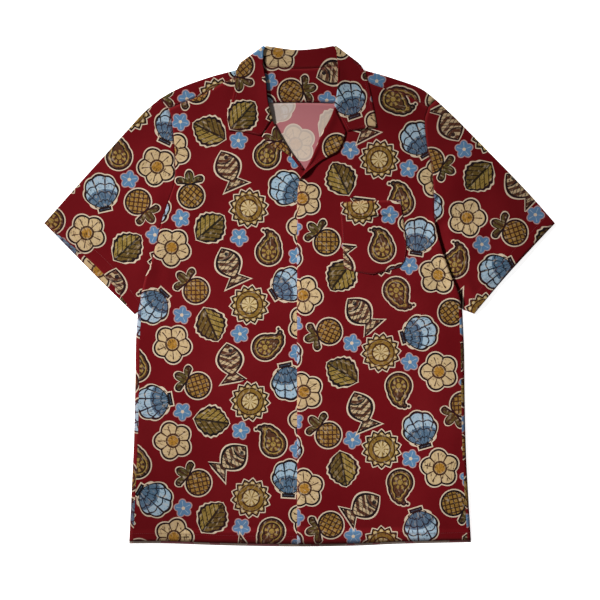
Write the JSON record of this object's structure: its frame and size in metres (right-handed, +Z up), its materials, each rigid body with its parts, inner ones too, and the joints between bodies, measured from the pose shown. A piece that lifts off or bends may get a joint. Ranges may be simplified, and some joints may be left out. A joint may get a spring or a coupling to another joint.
{
  "type": "camp collar shirt",
  "caption": "Short-sleeved camp collar shirt laid flat front up: straight hem, turned lapels, one chest patch pocket and a yoke brought forward over the shoulders.",
  "frame": {"origin": "on the surface the shirt lies on, at the middle of its width and of its length", "axes": "+Z up from the surface, +Y from hem to collar, +X towards the wearer's left sleeve"},
  "size_m": [0.828, 0.8103, 0.0069],
  "materials": {
    "printed_cloth": "light plain-weave viscose, matt, printed on one side"
  },
  "bodies": {
    "root": {"back": "printed_cloth", "yoke": "printed_cloth", "inner_yoke": "printed_cloth", "front_right": "printed_cloth", "front_left": "printed_cloth", "sleeve_right": "printed_cloth", "sleeve_left": "printed_cloth", "collar": "printed_cloth", "pocket": "printed_cloth"}
  },
  "joints": []
}
